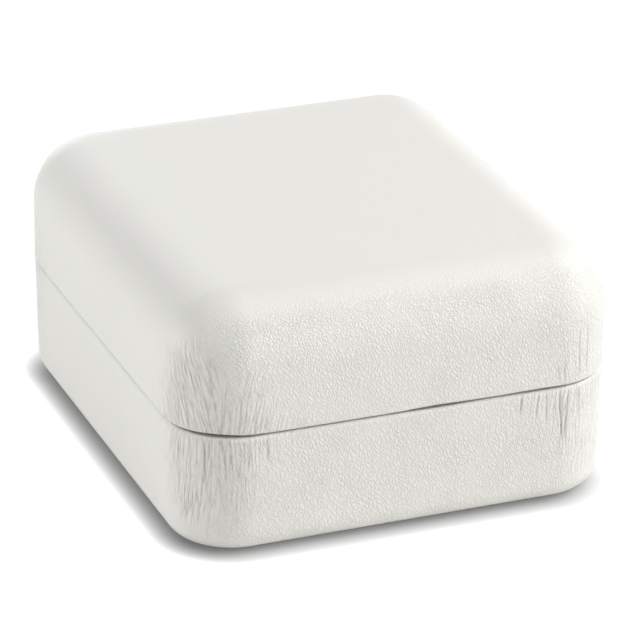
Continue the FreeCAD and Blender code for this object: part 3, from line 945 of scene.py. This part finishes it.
def foamBlock(name, node, lowCorner, highCorner, rounding, up):
    # foam inside a pad, a little smaller than its space so that the fabric covers it all round
    low, high = boxInMm(node)
    mesh = padForm(low, high, lowCorner, highCorner, rounding, padWork["foamInset"], up)
    mesh.transform(Matrix.Diagonal((mm, mm, mm, 1)))
    piece = addObject(name, mesh, foam)
    smoothBut(mesh, padWork["foamSharp"])
    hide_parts(node)
    return piece


# each pad: nodes of its cover and foam, corner radii at the -Y and +Y end, rounding,
# finish, slot, whether it faces up, and its body
pads = {
    "frontVelvetPad": (
        "insert_velvet_front", "insert_foam_front", 5.4, 3.0, 2.8, velvet, "velvet", True, "base"),
    "rearVelvetPad": (
        "insert_velvet_rear", "insert_foam_rear", 3.0, 5.4, 2.8, velvet, "velvet", True, "base"),
    "lidSatinPad": (
        "lid_pad_satin", "lid_pad_foam", 5.2, 5.2, 2.0, satin, "satin", False, "lid"),
}
for name, (cover, core, lowCorner, highCorner, rounding, material, slotName, up, body) in pads.items():
    pad = puffPad(name, cover, lowCorner, highCorner, rounding, material, up)
    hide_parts(cover)
    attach(pad, body)
    foamRounding = rounding * padWork["foamRounding"]
    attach(foamBlock(name + "Foam", core, lowCorner, highCorner, foamRounding, up), body)

# the CAD pieces that stay take the finish of their real material
finishes = {
    "polystyreneMoulded": ("base_shell", "lid_shell"),
    "whiteLinedCard": ("bottom_cover",),
    "greyBoardPressed": ("insert_platform", "lid_pad_board"),
    "nickelPlatedSteel": (
        "hinge_base_leaf", "hinge_lid_leaf", "hinge_pin", "hinge_base_rivets", "hinge_lid_rivets"),
    "springSteelTempered": ("snap_spring",),
}
for finish, names in finishes.items():
    for name in names:
        coat(nodes[name].data, hard[finish])
print("CAD pieces finished")

# plain pale floor; for the camera and for reflections it glows evenly, as a lit table does, to meet the
# white world, and the glow is cut away close to whatever stands on it, which paints its contact shadow
stageLook = {
    "floor": "#F7F7F6", "floorSeen": "#616160", "size": 6.0, "glow": 0.95, "ambient": 0.32,
    "under": 0.02,  # mm that the floor lies below the part
    # shadowReach, shadowFrom and shadowPower shape the painted contact shadow
    "shadowReach": 3.1,  # mm
    "shadowFrom": (0.6, 0.25, 0.7),  # the glow is cut off most on the side away from the key lamps
    "shadowPower": 1.15,
}


def seenRays(add):
    # 1 for the rays that show the background: straight, mirrored or through something clear
    path = add("LightPath").node.outputs
    seen = add("Math", {"operation": "MAXIMUM"}, {0: path["Is Camera Ray"], 1: path["Is Glossy Ray"]})
    return add("Math", {"operation": "MAXIMUM"}, {0: seen, 1: path["Is Transmission Ray"]})


def makeStage():
    look = stageLook
    mesh = bpy.data.meshes.new("floor")
    half = look["size"] / 2
    level = -look["under"] * mm
    square = ((-half, -half), (half, -half), (half, half), (-half, half))
    mesh.from_pydata([(x, y, level) for x, y in square], [], [(0, 1, 2, 3)])
    finish = {"Roughness": 1.0, "Specular IOR Level": 0.0}
    material, add, shader = startMaterial("paperSweep", finish)[:3]
    shown = seenRays(add)
    paper = add("Mix", tones(look["floor"], look["floorSeen"]), {0: shown}, 2)
    plug(shader, {"Base Color": paper})
    towards = add("CombineXYZ", dict(enumerate(Vector(look["shadowFrom"]).normalized())))
    # painted contact shadow: the glow is cut by how near the part is, most on the side away from the key
    # lamps
    nearness = add("AmbientOcclusion", {"Distance": look["shadowReach"] * mm}, {"Normal": towards}, "AO")
    contactShadow = add("Math", {"operation": "POWER", 1: look["shadowPower"]}, {0: nearness})
    shadowedGlow = add("Math", {"operation": "MULTIPLY"}, {0: shown, 1: contactShadow})
    glow = add("Math", {"operation": "MULTIPLY", 1: look["glow"]}, {0: shadowedGlow})
    light = add("Emission", {"Color": (1, 1, 1, 1)}, {"Strength": glow})
    both = add("AddShader", {}, {0: shader.outputs[0], 1: light})
    plug(material.node_tree.nodes["Material Output"], {"Surface": both})
    addObject("floor", mesh, material)

    world = bpy.data.worlds.new("whiteRoom")
    world.use_nodes = True
    add = partial(addNode, world.node_tree)
    strength = add("MapRange", {"To Min": look["ambient"], "To Max": 1.0}, {"Value": seenRays(add)})
    back = world.node_tree.nodes["Background"]
    back.inputs["Color"].default_value = (1, 1, 1, 1)
    plug(back, {"Strength": strength})
    bpy.context.scene.world = world


# soft lamps: direction from the front (+ to the right) and height in degrees, size in m, power in W
lampDistance = 0.9
lamps = {
    "keyFront": (45, 24, 0.3, 1.8),
    "highFront": (20, 45, 0.3, 1.0),
    "highRight": (70, 45, 0.3, 4.1),
    "lowLeft": (-110, 6, 0.3, 3.2),
    "backFill": (180, 10, 0.5, 1.5),
}
# camera matched to the photograph: angles in degrees, lengths in mm
view = {
    "turn": -21.804, "height": 24.438, "roll": 0.687, "distance": 600.98, "lens": 233.56, "sensor": 36,
    "right": 1.290, "up": -2.302, "nearest": 10.0,
}
middle = (cadBox[0] + cadBox[1]) / 2


def wayFrom(turn, height):
    # from the part towards a lamp or the camera
    turn, height = math.radians(turn), math.radians(height)
    return Vector((math.sin(turn) * math.cos(height), -math.cos(turn) * math.cos(height), math.sin(height)))


def makeLamps():
    for name, (turn, height, size, power) in lamps.items():
        data = bpy.data.lights.new(name, "AREA")
        data.shape = "DISK"
        data.size = size
        data.energy = power
        lamp = linkObject(name, data)
        way = wayFrom(turn, height)
        lamp.location = middle + way * lampDistance
        lamp.rotation_euler = way.to_track_quat("Z", "Y").to_euler()
        lamp.visible_camera = False


def makeCamera():
    turn, roll = math.radians(view["turn"]), math.radians(view["roll"])
    back = wayFrom(view["turn"], view["height"])
    level = Vector((math.cos(turn), math.sin(turn), 0))
    upright = back.cross(level)
    right = level * math.cos(roll) + upright * math.sin(roll)
    up = upright * math.cos(roll) - level * math.sin(roll)
    data = bpy.data.cameras.new("camera")
    data.sensor_width = view["sensor"]
    data.lens = view["lens"]
    data.clip_start = view["nearest"] * mm
    camera = linkObject("camera", data)
    camera.rotation_mode = "QUATERNION"
    camera.rotation_quaternion = Matrix((right, up, back)).transposed().to_quaternion()
    camera.location = middle + (back * view["distance"] + right * view["right"] + up * view["up"]) * mm
    bpy.context.scene.camera = camera


makeStage()
makeLamps()
makeCamera()
bpy.context.scene.view_settings.view_transform = "Standard"
print("stage, lamps and camera ready")
